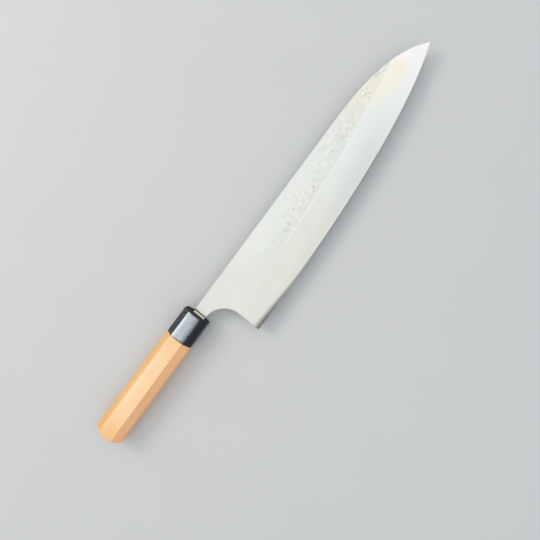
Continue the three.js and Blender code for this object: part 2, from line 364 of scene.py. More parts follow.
def bevel_tone(tree, look):
    """The bevel's colour, shared by the cladding and the core so that one runs into the other."""
    place = add(tree, "TexCoord", out="Object")
    along = add(tree, "SeparateXYZ", {0: place}, out="X")
    above = add(tree, "Attribute", attribute_name="from_edge", out="Fac")
    # Painted reflection: cooler along the blade and white towards the tip.
    cool_reflection = add(tree, "MapRange", {0: along, 1: 20 * MM, 2: 120 * MM}, **SMOOTH)
    tone = add(tree, "MixRGB", {0: cool_reflection, 1: look.bevel_steel, 2: look.bevel_haze_and_reflection})
    white_reflection = add(tree, "MapRange", {0: along, 1: 130 * MM, 2: 205 * MM}, **SMOOTH)
    tone = add(tree, "MixRGB", {0: white_reflection, 1: tone, 2: look.bevel_tip})
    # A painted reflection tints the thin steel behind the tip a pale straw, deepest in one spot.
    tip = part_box("core_steel")[1]
    for behind, below, squeeze, reach, strength in STRAW_REFLECTION_SPOTS:
        spot = tip - Vector((behind, below, 0))
        way = add(tree, "VectorMath", {0: place, 1: spot}, operation="SUBTRACT")
        way = add(tree, "VectorMath", {0: way, 1: (squeeze, 1.0, 0.0)}, operation="MULTIPLY")
        way = add(tree, "VectorMath", {0: way}, out="Value", operation="LENGTH")
        straw = add(tree, "MapRange", {0: way, 1: reach, 2: reach / 6, 4: strength}, **SMOOTH)
        tone = add(tree, "MixRGB", {0: straw, 1: tone, 2: look.straw_reflection})
    tone = oil_film(tree, place, tone)
    # Honing greys the steel towards the edge, in a strip that widens along the blade.
    width = add(tree, "MapRange", {0: along, 1: 0.0, 2: 100 * MM, 3: 10 * MM, 4: 24 * MM})
    honed = add(tree, "Math", {0: above, 1: width}, operation="DIVIDE")
    honed = add(tree, "MapRange", {0: honed, 1: 1.0, 2: 0.1}, **SMOOTH)
    bold = add(tree, "MapRange", {0: along, 1: 0.0, 2: 90 * MM, 3: 0.25, 4: 0.5}, **SMOOTH)
    fade = add(tree, "MapRange", {0: along, 1: 105 * MM, 2: 150 * MM, 3: 1.0, 4: 0.35}, **SMOOTH)
    bold = add(tree, "Math", {0: bold, 1: fade}, operation="MULTIPLY")
    honed = add(tree, "Math", {0: honed, 1: bold}, operation="MULTIPLY")
    tone = add(tree, "MixRGB", {0: honed, 1: tone, 2: look.honed_steel})
    # Painted shade darkens the heel's corner and, less and less, the edge in front of it.
    heel = add(tree, "MapRange", {0: along, 1: 35 * MM, 2: -50 * MM}, **SMOOTH)
    width = add(tree, "MapRange", {0: along, 1: -2 * MM, 2: -57 * MM, 3: 1.2 * MM, 4: 7 * MM})
    low = add(tree, "Math", {0: above, 1: width}, operation="DIVIDE")
    low = add(tree, "MapRange", {0: low, 1: 1.0, 2: 0.05}, **SMOOTH)
    heel = add(tree, "Math", {0: heel, 1: low}, operation="MULTIPLY")
    return add(tree, "MixRGB", {0: heel, 1: tone, 2: look.heel_painted_shade})


def bevel_line_highlight(tree, tone, line):
    """Lay a painted highlight along the bevel line over a tone."""
    place = add(tree, "TexCoord", out="Object")
    along = add(tree, "SeparateXYZ", {0: place}, out="X")
    # It is faint at the heel and dies out behind the tip.
    bold = add(tree, "MapRange", {0: along, 1: -20 * MM, 2: 50 * MM, 3: 0.05, 4: 0.8}, **SMOOTH)
    fade = add(tree, "MapRange", {0: along, 1: 165 * MM, 2: 140 * MM}, **SMOOTH)
    # The painted highlight comes and goes along its length.
    patchy = add(tree, "TexNoise", {"Vector": place, "Scale": 1 / (6 * MM), "Detail": 2.0})
    patchy = add(tree, "MapRange", {0: patchy, 1: 0.3, 2: 0.6, 3: 0.4}, **SMOOTH)
    for part in (bold, fade, patchy):
        line = add(tree, "Math", {0: line, 1: part}, operation="MULTIPLY")
    return add(tree, "MixRGB", {0: line, 1: tone, 2: linear("#F2F6F3")})


def pear_skin_marks(tree, place, band):
    """Short dark pits and bright flecks, shown as strongly as the band says."""
    # Real marks are about 0.3 mm wide. They are drawn at 0.6 mm, so that they show.
    marks = []
    for length, seed in ((2.6 * MM, 0.0), (2.1 * MM, 3.0)):
        spot = add(tree, "VectorMath", {0: place, 1: (seed, seed, seed)}, operation="ADD")
        curl = add(tree, "TexNoise", {"Vector": spot, "Scale": 1 / length, "Detail": 1.0})
        curl = add(tree, "Math", {0: curl, 1: 0.5}, operation="SUBTRACT")
        curl = add(tree, "Math", {0: curl}, operation="ABSOLUTE")
        curl = add(tree, "MapRange", {0: curl, 1: 0.07, 2: 0.015}, **SMOOTH)
        cut = add(tree, "TexNoise", {"Vector": spot, "Scale": 0.7 / length, "Detail": 0.0})
        cut = add(tree, "MapRange", {0: cut, 1: 0.5, 2: 0.6}, **SMOOTH)
        for part in (cut, band):
            curl = add(tree, "Math", {0: curl, 1: part}, operation="MULTIPLY")
        marks.append(curl)
    return marks


def pear_skin_steel(look):
    """Stainless cladding with the pear-skin grain it was rolled with."""
    # Pale satin steel. Short dark and bright strokes gather in patches above the bevel line.
    material, tree = new_material("stainless_cladding_pear_skin")
    place = add(tree, "TexCoord", out="Object")
    along = add(tree, "SeparateXYZ", {0: place}, out="X")
    above = add(tree, "Attribute", attribute_name="from_ridge", out="Fac")
    rise = add(tree, "MapRange", {0: above, 1: 0.3 * MM, 2: 2.5 * MM}, **SMOOTH)
    fall = add(tree, "MapRange", {0: above, 1: 25 * MM, 2: 8 * MM}, **SMOOTH)
    start = add(tree, "MapRange", {0: along, 1: -45 * MM, 2: 60 * MM}, **SMOOTH)
    patch = add(tree, "TexNoise", {"Vector": place, "Scale": 1 / (13 * MM), "Detail": 2.0})
    patch = add(tree, "MapRange", {0: patch, 1: 0.4, 2: 0.6, 3: 0.2}, **SMOOTH)
    band = rise
    for part in (fall, start, patch):
        band = add(tree, "Math", {0: band, 1: part}, operation="MULTIPLY")
    pits, flecks = pear_skin_marks(tree, place, band)
    cloud = add(tree, "TexNoise", {"Vector": place, "Scale": 1 / (26 * MM), "Detail": 3.0})
    height = add(tree, "MapRange", {0: above, 1: 3 * MM, 2: 20 * MM, 4: 0.7}, **SMOOTH)
    height = add(tree, "Math", {0: cloud, 1: 0.3, 2: height}, operation="MULTIPLY_ADD")
    tone = add(tree, "MixRGB", {0: height, 1: look.grain_steel, 2: look.flat_steel})
    neck = add(tree, "MapRange", {0: along, 1: 5 * MM, 2: -40 * MM}, **SMOOTH)
    tone = add(tree, "MixRGB", {0: neck, 1: tone, 2: look.neck_steel})
    # Painted reflection: a cream tint on the flat towards the tip.
    straw = add(tree, "MapRange", {0: along, 1: 105 * MM, 2: 160 * MM, 4: 0.85}, **SMOOTH)
    fade = add(tree, "MapRange", {0: along, 1: 160 * MM, 2: 185 * MM, 3: 1.0, 4: 0.65}, **SMOOTH)
    straw = add(tree, "Math", {0: straw, 1: fade}, operation="MULTIPLY")
    tone = add(tree, "MixRGB", {0: straw, 1: tone, 2: linear("#F0EDDB")})
    tone = oil_film(tree, place, tone)
    dark = add(tree, "Math", {0: pits, 1: 0.44}, operation="MULTIPLY")
    tone = add(tree, "MixRGB", {0: dark, 1: tone, 2: linear("#A4A6A0")})
    tone = add(tree, "MixRGB", {0: flecks, 1: tone, 2: linear("#FFFFFF")})
    # Painted highlight along the bevel line.
    line = add(tree, "MapRange", {0: above, 1: 1.3 * MM, 2: 0.1 * MM}, **SMOOTH)
    tone = bevel_line_highlight(tree, tone, line)
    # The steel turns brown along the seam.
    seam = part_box("core_steel")[0].x
    edge = add(tree, "Math", {0: patch, 1: 0.4 * MM, 2: along}, operation="MULTIPLY_ADD")
    brown = add(tree, "MapRange", {0: edge, 1: seam + 1.5 * MM, 2: seam + 0.8 * MM}, **SMOOTH)
    tone = add(tree, "MixRGB", {0: brown, 1: tone, 2: look.seam_brown})
    rough = add(tree, "MapRange", {0: pits, 3: 0.36, 4: 0.5})
    normal = add(tree, "Bump", {"Height": pits, "Distance": 0.04 * MM, "Strength": 0.5}, invert=True)
    finish = {"Base Color": tone, "Metallic": 1.0, "Roughness": rough, "Normal": normal}
    add(tree, "OutputMaterial", {"Surface": add(tree, "BsdfPrincipled", finish)})
    return material


def stone_ground_steel(look):
    """Stainless cladding ground to a bevel on a wheel and hazed on stones."""
    # A soft haze with fine strokes along the edge, creamy at the heel, with painted reflection that cools
    # it along the blade and whitens it towards the tip.
    material, tree = new_material("stainless_bevel_stone_haze")
    place = add(tree, "TexCoord", out="Object")
    above = add(tree, "Attribute", attribute_name="from_ridge", out="Fac")
    tone = bevel_tone(tree, look)
    # Painted highlight along the bevel line.
    line = add(tree, "MapRange", {0: above, 1: -1.6 * MM, 2: -0.1 * MM}, **SMOOTH)
    tone = bevel_line_highlight(tree, tone, line)
    # Stone strokes are a few hundredths of a millimetre wide. They are drawn at 0.5 mm.
    strokes = grain(tree, place, (0.04, 1.0, 1.0), 0.5 * MM, 3.0)
    surface(tree, tone, strokes, (0.3, 0.42), (0.01 * MM, 0.4), Metallic=1.0)
    return material


def burnished_steel():
    """Spine, choil and heel, eased with a file and rubbed down."""
    # A little duller than the faces, with a faint cross grain.
    material, tree = new_material("stainless_arris_burnished")
    place = add(tree, "TexCoord", out="Object")
    # The rubbing marks are drawn at 0.6 mm, far coarser than real ones.
    marks = grain(tree, place, (1.0, 1.0, 0.08), 0.6 * MM, 2.0)
    tone = add(tree, "MixRGB", {0: marks, 1: linear("#E6E8E6"), 2: linear("#F6F8F6")})
    surface(tree, tone, marks, (0.52, 0.66), (0.01 * MM, 0.3), Metallic=1.0)
    return material


def honed_core_steel(look):
    """Hard core steel, honed to the cutting edge."""
    # The bevel's colour runs on into it. It is a little smoother, with a bright honed edge in front.
    material, tree = new_material("carbon_core_steel_honed")
    place = add(tree, "TexCoord", out="Object")
    along = add(tree, "SeparateXYZ", {0: place}, out="X")
    above = add(tree, "Attribute", attribute_name="from_edge", out="Fac")
    tone = bevel_tone(tree, look)
    # Hone marks of about 0.05 mm, drawn at 0.4 mm.
    strokes = grain(tree, place, (0.05, 1.0, 1.0), 0.4 * MM, 3.0)
    marks = add(tree, "MapRange", {0: strokes, 1: 0.4, 2: 0.7, 4: 0.12}, **SMOOTH)
    tone = add(tree, "MixRGB", {0: marks, 1: tone, 2: look.honed_steel})
    bright = add(tree, "MapRange", {0: above, 1: 0.9 * MM, 2: 0.5 * MM, 4: 0.6}, **SMOOTH)
    front = add(tree, "MapRange", {0: along, 1: -20 * MM, 2: 60 * MM}, **SMOOTH)
    bright = add(tree, "Math", {0: bright, 1: front}, operation="MULTIPLY")
    tone = add(tree, "MixRGB", {0: bright, 1: tone, 2: linear("#F2F4F4")})
    surface(tree, tone, strokes, (0.28, 0.38), (0.01 * MM, 0.3), Metallic=1.0)
    return material


def tinted_tang_steel(look):
    """Soft tang steel, straw-coloured, and brown along the seam."""
    # A dull film of scale, straw-coloured near the ferrule and brown along the seam.
    material, tree = new_material("tang_steel_tinted")
    place = add(tree, "TexCoord", out="Object")
    along = add(tree, "SeparateXYZ", {0: place}, out="X")
    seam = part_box("tang")[1].x
    scale = add(tree, "TexNoise", {"Vector": place, "Scale": 1 / (0.9 * MM), "Detail": 3.0})
    drift = add(tree, "Math", {0: scale, 1: 0.3 * MM, 2: along}, operation="MULTIPLY_ADD")
    brown = add(tree, "MapRange", {0: drift, 1: seam - 0.3 * MM, 2: seam + 0.1 * MM}, **SMOOTH)
    tone = add(tree, "MixRGB", {0: scale, 1: linear("#F6EEDC"), 2: look.tang_steel})
    tone = add(tree, "MixRGB", {0: brown, 1: tone, 2: look.seam_brown})
    surface(tree, tone, scale, (0.35, 0.55), (0.03 * MM, 0.5), Metallic=0.15)
    return material


def polished_horn(look, facet_cut):
    """Black buffalo horn, sanded to its facets and buffed."""
    # Near black, glossy, with faint paler streaks along its length and a dull end grain in front.
    material, tree = new_material("buffalo_horn_polished")
    place = add(tree, "TexCoord", out="Object")
    # Horn fibres run along the ferrule and are drawn about 1.5 mm wide.
    fibre = grain(tree, place, (0.22, 1.0, 1.0), 1.5 * MM, 4.0)
    streak = add(tree, "MapRange", {0: fibre, 1: 0.5, 2: 0.75}, **SMOOTH)
    tone = add(tree, "MixRGB", {0: streak, 1: look.horn, 2: look.horn_streak})
    # A pale painted highlight lies beside the ridge towards the spine, on the upward facing facet.
    low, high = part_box("ferrule")
    middle = (low.y + high.y) / 2
    spot = add(tree, "SeparateXYZ", {0: place}, out="Y")
    painted_highlight = add(tree, "MapRange", {0: spot, 1: middle + 2.5 * MM, 2: middle + facet_cut, 4: 0.6})
    faces = add(tree, "TexCoord", out="Normal")
    upright = add(tree, "SeparateXYZ", {0: faces}, out="Z")
    upright = add(tree, "MapRange", {0: upright, 1: 0.85, 2: 0.97}, **SMOOTH)
    painted_highlight = add(tree, "Math", {0: painted_highlight, 1: upright}, operation="MULTIPLY")
    tone = add(tree, "MixRGB", {0: painted_highlight, 1: tone, 2: linear("#868681")})
    front = add(tree, "SeparateXYZ", {0: faces}, out="X")
    front = add(tree, "MapRange", {0: front, 1: 0.6, 2: 0.9}, **SMOOTH)
    mottle = add(tree, "TexNoise", {"Vector": place, "Scale": 1 / (5 * MM), "Detail": 3.0})
    rough = add(tree, "MapRange", {0: mottle, 1: 0.35, 2: 0.7, 3: 0.16, 4: 0.26})
    rough = add(tree, "Math", {0: front, 1: 0.4, 2: rough}, operation="MULTIPLY_ADD")
    gloss = add(tree, "MapRange", {0: front, 3: 0.5, 4: 0.2})
    normal = add(tree, "Bump", {"Height": mottle, "Distance": 0.03 * MM, "Strength": 0.2})
    finish = {"Base Color": tone, "Roughness": rough, "IOR": 1.56, "Normal": normal}
    finish["Specular IOR Level"] = gloss
    add(tree, "OutputMaterial", {"Surface": add(tree, "BsdfPrincipled", finish)})
    return material


def end_grain(tree, place, normals, tone):
    """Lay the growth rings that show on the butt over a tone."""
    # They stand 1.8 mm apart, round a heart that lies outside the handle.
    low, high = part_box("handle_body")
    heart = Vector((0.0, high.y + 12 * MM, low.z - 20 * MM))
    rings = add(tree, "VectorMath", {0: place, 1: heart}, operation="SUBTRACT")
    per_length = math.pi / 10 / (1.8 * MM)
    wave = {"Vector": rings, "Scale": per_length, "Distortion": 2.0, "Detail Scale": 0.3}
    rings = add(tree, "TexWave", wave, wave_type="RINGS", rings_direction="X", wave_profile="SAW")
    end = add(tree, "SeparateXYZ", {0: normals}, out="X")
    end = add(tree, "MapRange", {0: end, 1: -0.7, 2: -0.85, 4: 0.45}, **SMOOTH)
    rings = add(tree, "Math", {0: rings, 1: end}, operation="MULTIPLY")
    return add(tree, "MixRGB", {0: rings, 1: tone, 2: linear("#C98A4E")})


def ridge_painted_light(tree, faces, tone):
    """Lay painted light over a tone on the ridges: a painted highlight on the upper ones and painted
    shade on the lower ones.
    """
    rubbed = add(tree, "Attribute", attribute_name="arris", out="Fac")
    rubbed = add(tree, "Math", {0: rubbed, 1: 0.85}, operation="MULTIPLY")
    which = add(tree, "MapRange", {0: faces, 1: -0.05, 2: 0.05}, **SMOOTH)
    # Pale painted highlight on the upper ridges, dark painted shade on the lower ones.
    ridge = add(tree, "MixRGB", {0: which, 1: linear("#B47A44"), 2: linear("#FFE6BE")})
    return add(tree, "MixRGB", {0: rubbed, 1: tone, 2: ridge})


def sanded_magnolia(look):
    """Magnolia wood, sanded to fine facets and lightly oiled."""
    # Warm straw to orange, with straight fine grain.
    material, tree = new_material("magnolia_wood_sanded")
    place = add(tree, "TexCoord", out="Object")
    # Growth layers stand about 3.5 mm apart and wander a little.
    layers = grain(tree, place, (0.05, 0.5, 1.0), 3.5 * MM, 2.0)
    band = add(tree, "MapRange", {0: layers, 1: 0.35, 2: 0.65}, **SMOOTH)
    # Fibres are far finer than a pixel. They are drawn 0.5 mm wide.
    fibre = grain(tree, place, (0.03, 1.0, 1.0), 0.5 * MM, 4.0)
    mixed = add(tree, "Math", {0: fibre, 1: 0.35}, operation="MULTIPLY")
    mixed = add(tree, "Math", {0: band, 1: 0.3, 2: mixed}, operation="MULTIPLY_ADD")
    tone = add(tree, "MixRGB", {0: mixed, 1: look.wood_pale, 2: look.wood_warm})
    # Both ends have drunk more oil than the middle and are deeper in colour, most of all the butt.
    low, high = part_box("handle_body")
    along = add(tree, "SeparateXYZ", {0: place}, out="X")
    front = add(tree, "MapRange", {0: along, 1: high.x - 22 * MM, 2: high.x, 4: 0.25}, **SMOOTH)
    butt = add(tree, "MapRange", {0: along, 1: low.x + 32 * MM, 2: low.x + 4 * MM, 4: 0.6}, **SMOOTH)
    # Painted light and shade by the way a facet faces: the middle and lower facets drift to peach, and
    # the upper facets turn orange as the key light falls on them.
    normals = add(tree, "TexCoord", out="Normal")
    faces = add(tree, "SeparateXYZ", {0: normals}, out="Y")
    drift = add(tree, "MapRange", {0: faces, 1: 0.1, 2: -0.1, 4: 0.75}, **SMOOTH)
    tone = add(tree, "MixRGB", {0: drift, 1: tone, 2: linear("#FCD1A0")})
    upper = add(tree, "MapRange", {0: faces, 1: 0.15, 2: 0.6, 4: 0.8}, **SMOOTH)
    lit_orange_facets = add(tree, "MixRGB", {0: mixed, 1: linear("#F0BB70"), 2: linear("#D8923E")})
    tone = add(tree, "MixRGB", {0: upper, 1: tone, 2: lit_orange_facets})
    for oiled in (front, butt):
        tone = add(tree, "MixRGB", {0: oiled, 1: tone, 2: linear("#F2B36C")})
    # Painted shade: the lower facets, turned away from the key light, turn rosy.
    lower = add(tree, "MapRange", {0: faces, 1: -0.15, 2: -0.6, 4: 0.85}, **SMOOTH)
    shaded_rosy_facets = add(tree, "MixRGB", {0: mixed, 1: linear("#FFCB98"), 2: linear("#FFAA72")})
    tone = add(tree, "MixRGB", {0: lower, 1: tone, 2: shaded_rosy_facets})
    tone = end_grain(tree, place, normals, tone)
    # Pores show as short dark flecks along the grain.
    fleck = grain(tree, place, (0.12, 1.0, 1.0), 0.45 * MM, 1.0)
    fleck = add(tree, "MapRange", {0: fleck, 1: 0.66, 2: 0.76, 4: 0.35}, **SMOOTH)
    tone = add(tree, "MixRGB", {0: fleck, 1: tone, 2: linear("#A9713C")})
    tone = ridge_painted_light(tree, faces, tone)
    surface(tree, tone, fibre, (0.42, 0.58), (0.03 * MM, 0.3), IOR=1.5)
    return material


def sealing_wax(look):
    """Dark wax that closes the ferrule's mouth round the tang."""
    # Nearly black, soft-edged and a little lumpy.
    material, tree = new_material("mouth_wax_poured")
    place = add(tree, "TexCoord", out="Object")
    lumps = add(tree, "TexNoise", {"Vector": place, "Scale": 1 / (1.2 * MM), "Detail": 3.0})
    tone = add(tree, "MixRGB", {0: lumps, 1: look.wax, 2: linear("#3A2E24")})
    surface(tree, tone, lumps, (0.4, 0.6), (0.1 * MM, 0.5), IOR=1.45)
    return material


def turned_beech():
    """Beech dowel, turned round and slotted for the tang."""
    # Pinkish brown with short dark rays along the grain.
    material, tree = new_material("beech_dowel_turned")
    place = add(tree, "TexCoord", out="Object")
    fibre = grain(tree, place, (0.1, 1.0, 1.0), 0.6 * MM, 4.0)
    tone = add(tree, "MixRGB", {0: fibre, 1: linear("#D9B48A"), 2: linear("#B98C61")})
    normal = add(tree, "Bump", {"Height": fibre, "Distance": 0.05 * MM, "Strength": 0.4})
    finish = {"Base Color": tone, "Roughness": 0.6, "IOR": 1.5, "Normal": normal}
    add(tree, "OutputMaterial", {"Surface": add(tree, "BsdfPrincipled", finish)})
    return material


def cast_resin():
    """Resin poured round the tang inside the handle."""
    # Amber, with small trapped bubbles.
    material, tree = new_material("bedding_resin_cast")
    place = add(tree, "TexCoord", out="Object")
    bubbles = add(tree, "TexVoronoi", {"Vector": place, "Scale": 1 / (1.5 * MM)})
    tone = add(tree, "MixRGB", {0: bubbles, 1: linear("#B98A48"), 2: linear("#8C6430")})
    normal = add(tree, "Bump", {"Height": bubbles, "Distance": 0.1 * MM, "Strength": 0.3})
    finish = {"Base Color": tone, "Roughness": 0.3, "IOR": 1.55, "Normal": normal}
    add(tree, "OutputMaterial", {"Surface": add(tree, "BsdfPrincipled", finish)})
    return material


# Curves and meshes.


def bezier(start, pull, end):
    """Points along a quadratic curve."""
    made = []
    for i in range(CURVE_STEPS + 1):
        t = i / CURVE_STEPS
        made.append(start * (1 - t) ** 2 + pull * 2 * t * (1 - t) + end * t**2)
    return made


def spline(points):
    """Points along a Catmull-Rom curve through the given points."""
    ends = [points[0], *points, points[-1]]
    made = []
    for p, q, r, s in zip(ends, ends[1:], ends[2:], ends[3:]):
        for i in range(CURVE_STEPS):
            t = i / CURVE_STEPS
            straight = q * 2 + (r - p) * t
            bend = (p * 2 - q * 5 + r * 4 - s) * t**2 + (q * 3 - p - r * 3 + s) * t**3
            made.append((straight + bend) / 2)
    return [*made, points[-1]]


def height_at(curve, x):
    """The Y of a curve that runs along X."""
    last = len(curve) - 1
    i = min(max(bisect.bisect_left(curve, x, key=lambda p: p.x), 1), last)
    a, b = curve[i - 1], curve[i]
    share = min(max((x - a.x) / (b.x - a.x), 0.0), 1.0)
    return a.y + (b.y - a.y) * share


def between(a, b, share):
    """The value a share of the way from a to b."""
    return a + (b - a) * share


class BladeForm:
    """The blade's curves and thicknesses, from the frame's boxes and the blade's sizes."""

    def __init__(self, sizes):
        low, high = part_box("core_steel")
        self.sizes = sizes
        self.seam_x, self.tip_x = low.x, high.x
        self.heel_x = low.x + sizes.neck_length
        self.spine_y, self.heel_y = high.y, low.y
        self.mid_z = (low.z + high.z) / 2
        self.drop_x = high.x - sizes.spine_drop_length
        self.choil_x = self.heel_x + sizes.heel_lean - sizes.choil_radius
        self.choil_y = high.y - sizes.neck_height - sizes.choil_radius
        tip = Vector((high.x, high.y - sizes.tip_drop))
        self.spine_curve = bezier(
            Vector((self.drop_x, high.y)), Vector((high.x - sizes.spine_drop_pull, high.y)), tip
        )
        self.edge_curve = bezier(
            Vector((self.heel_x, low.y)),
            Vector((high.x - sizes.belly_length, low.y + sizes.belly_lift)),
            tip,
        )
        self.foot_x = self.choil_x + sizes.choil_radius + sizes.ease
        self.ridge_end_x = high.x - sizes.ridge_end
        third = (self.ridge_end_x - self.heel_x) / 3
        self.ridge_curve = spline(
            [
                Vector((self.foot_x, self.choil_y)),
                Vector((self.heel_x + third, high.y - sizes.ridge_third)),
                Vector((self.heel_x + 2 * third, high.y - sizes.ridge_two_thirds)),
                Vector((self.ridge_end_x, height_at(self.spine_curve, self.ridge_end_x))),
            ]
        )

    def spine(self, x):
        return self.spine_y if x < self.drop_x else height_at(self.spine_curve, x)

    def edge(self, x):
        return height_at(self.edge_curve, x)

    def ridge(self, x):
        """The bevel line, which starts at the choil's foot and ends on the spine."""
        if x <= self.foot_x:
            return self.choil_y
        line = height_at(self.ridge_curve, x)
        return min(line, self.spine(x)) if x < self.ridge_end_x else self.spine(x)

    def spine_half(self, x):
        """Half the blade's thickness at the spine."""
        s = self.sizes
        if x < self.drop_x:
            share = (x - self.seam_x) / (self.drop_x - self.seam_x)
            return between(s.neck_thickness, s.spine_thickness, share) / 2
        share = (x - self.drop_x) / (self.tip_x - self.drop_x)
        return between(s.spine_thickness, s.tip_thickness, share) / 2

    def half(self, x, y):
        """Half the blade's thickness at a point of its face."""
        s = self.sizes
        ridge = self.ridge(x)
        flat = self.spine_half(x) - s.flat_taper / 2 * (self.spine(x) - max(y, ridge))
        if y >= ridge:
            return flat
        edge = self.edge(x)
        share = (y - edge) / max(ridge - edge, SMALLEST_HEIGHT)
        crown = s.crown * 4 * share * (1 - share) * min(1.0, (ridge - edge) / CROWN_FADE)
        return between(s.edge_land / 2, flat, share) + crown

    def core_half(self, x):
        """Half the thickness of the core where the cladding covers it."""
        share = (x - self.seam_x) / (self.tip_x - self.seam_x)
        return between(self.sizes.core_neck, self.sizes.core_tip, share) / 2

    def core_line(self, x, side):
        """Where the core comes out from under the cladding, wavering as a forged line does."""
        edge, ridge = self.edge(x), self.ridge(x)
        (slow_length, slow_share), (quick_length, quick_share) = SLOW_WAVER, QUICK_WAVER
        # Each side and each waver takes its own line through the noise.
        slow = noise.noise(Vector((x / slow_length, side * 7.3, 0.5)))
        quick = noise.noise(Vector((x / quick_length, side * 3.1, 4.5)))
        share = self.sizes.core_show + slow_share * slow + quick_share * quick
        return between(edge, ridge, share)

    def heel_back(self, y):
        """X of the back of the heel below the choil's round."""
        share = (self.choil_y - y) / (self.choil_y - self.heel_y)
        return self.choil_x + self.sizes.choil_radius - self.sizes.heel_lean * max(share, 0.0)

    def lean(self, x, y):
        """Shift of a point behind the heel's first station, fading out along the blade."""
        foot = self.choil_x + self.sizes.choil_radius
        fade = max(0.0, 1 - (x - foot) / LEAN_FADE)
        return (self.heel_back(y) - foot) * fade if y < self.choil_y else 0.0


def lay_sheet(bm, grid, material):
    """Add a sheet of quads. Each grid item is a point and the values of its layers."""
    layers = bm.verts.layers.float
    made = []
    for row in grid:
        line = []
        for point, values in row:
            vert = bm.verts.new(point)
            for name, value in values.items():
                vert[layers[name]] = value
            line.append(vert)
        made.append(line)
    for line, following in zip(made, made[1:]):
        for corners in zip(line, line[1:], following[1:], following):
            bm.faces.new(corners).material_index = material


def outline(bm):
    """The rim of an open sheet as vertices in order."""
    edge = next(e for e in bm.edges if e.is_boundary)
    first = edge.verts[0]
    rim = [first]
    vert = edge.other_vert(first)
    while vert != first:
        rim.append(vert)
        ways = [e for e in vert.link_edges if e.is_boundary and e != edge]
        if len(ways) != 1:
            raise RuntimeError("the sheet's rim isn't one loop")
        edge = ways[0]
        vert = edge.other_vert(vert)
    return rim


def join_rings(bm, ring, following, material=0):
    """Add the quads between two closed rings of vertices."""
    for corners in zip(ring, ring[1:] + ring[:1], following[1:] + following[:1], following):
        bm.faces.new(corners).material_index = material


def close_rim(bm, side, floor_z, material):
    """Ease a sheet's rim by each vertex's ease, wall it down to a floor and close the floor."""
    rim = outline(bm)
    ease = bm.verts.layers.float["ease"]
    heights = [bm.verts.layers.float[name] for name in ("from_ridge", "from_edge")]
    spots = [v.co.copy() for v in rim]
    turns = zip(spots, spots[1:] + spots[:1])
    turning = sum(a.x * b.y - b.x * a.y for a, b in turns)
    outward = 1 if turning > 0 else -1
    rings = [rim]
    for step in range(1, EASE_STEPS + 2):
        angle = math.pi / 2 * min(step, EASE_STEPS) / EASE_STEPS
        ring = []
        for i, vert in enumerate(rim):
            way = (spots[(i + 1) % len(spots)] - spots[i - 1]).xy.normalized()
            out = Vector((way.y, -way.x, 0.0)) * outward
            sunk = vert[ease] * (1 - math.cos(angle))
            spot = spots[i] + out * vert[ease] * math.sin(angle) - Vector((0, 0, side * sunk))
            if step > EASE_STEPS:
                spot.z = floor_z(spot.x)
            made = bm.verts.new(spot)
            for layer in heights:
                made[layer] = vert[layer]
            ring.append(made)
        rings.append(ring)
    for ring, following in zip(rings, rings[1:]):
        join_rings(bm, ring, following, material)
    bm.faces.new(rings[-1]).material_index = material


def skin(bm, rings, closed=False):
    """Add a skin over rings of equal point count, capped or closed on itself, and return its rings."""
    made = [[bm.verts.new(point) for point in ring] for ring in rings]
    pairs = list(zip(made, made[1:]))
    if closed:
        pairs.append((made[-1], made[0]))
    else:
        bm.faces.new(made[0])
        bm.faces.new(made[-1])
    for ring, following in pairs:
        join_rings(bm, ring, following)
    return made


def new_mesh(*layers):
    """An empty mesh with named float layers on its vertices."""
    bm = bmesh.new()
    for name in layers:
        bm.verts.layers.float.new(name)
    return bm


def set_piece(bm, name, node, materials):
    """Clean a mesh and set it in the frame in place of a CAD node."""
    bmesh.ops.remove_doubles(bm, verts=bm.verts, dist=MERGE_DISTANCE)
    bmesh.ops.dissolve_degenerate(bm, dist=MERGE_DISTANCE, edges=bm.edges)
    bmesh.ops.recalc_face_normals(bm, faces=bm.faces)
    if any(e.is_boundary or not e.is_manifold for e in bm.edges):
        raise RuntimeError(name + " isn't one closed surface")
    mesh = bpy.data.meshes.new(name)
    bm.to_mesh(mesh)
    bm.free()
    for material in materials:
        mesh.materials.append(material)
    mesh.shade_smooth()
    mesh.set_sharp_from_angle(angle=SHARP_ANGLE)
    piece = bpy.data.objects.new(name, mesh)
    bpy.context.scene.collection.objects.link(piece)
    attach(piece, "root")
    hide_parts(node)


def blade_stations(start, end):
    """X of the stations from the heel to the tip, closer together towards the tip."""
    even = [i / BLADE_STATIONS for i in range(BLADE_STATIONS + 1)]
    return [start + (end - start) * (t + TIP_BUNCHING * t * (1 - t)) for t in even]


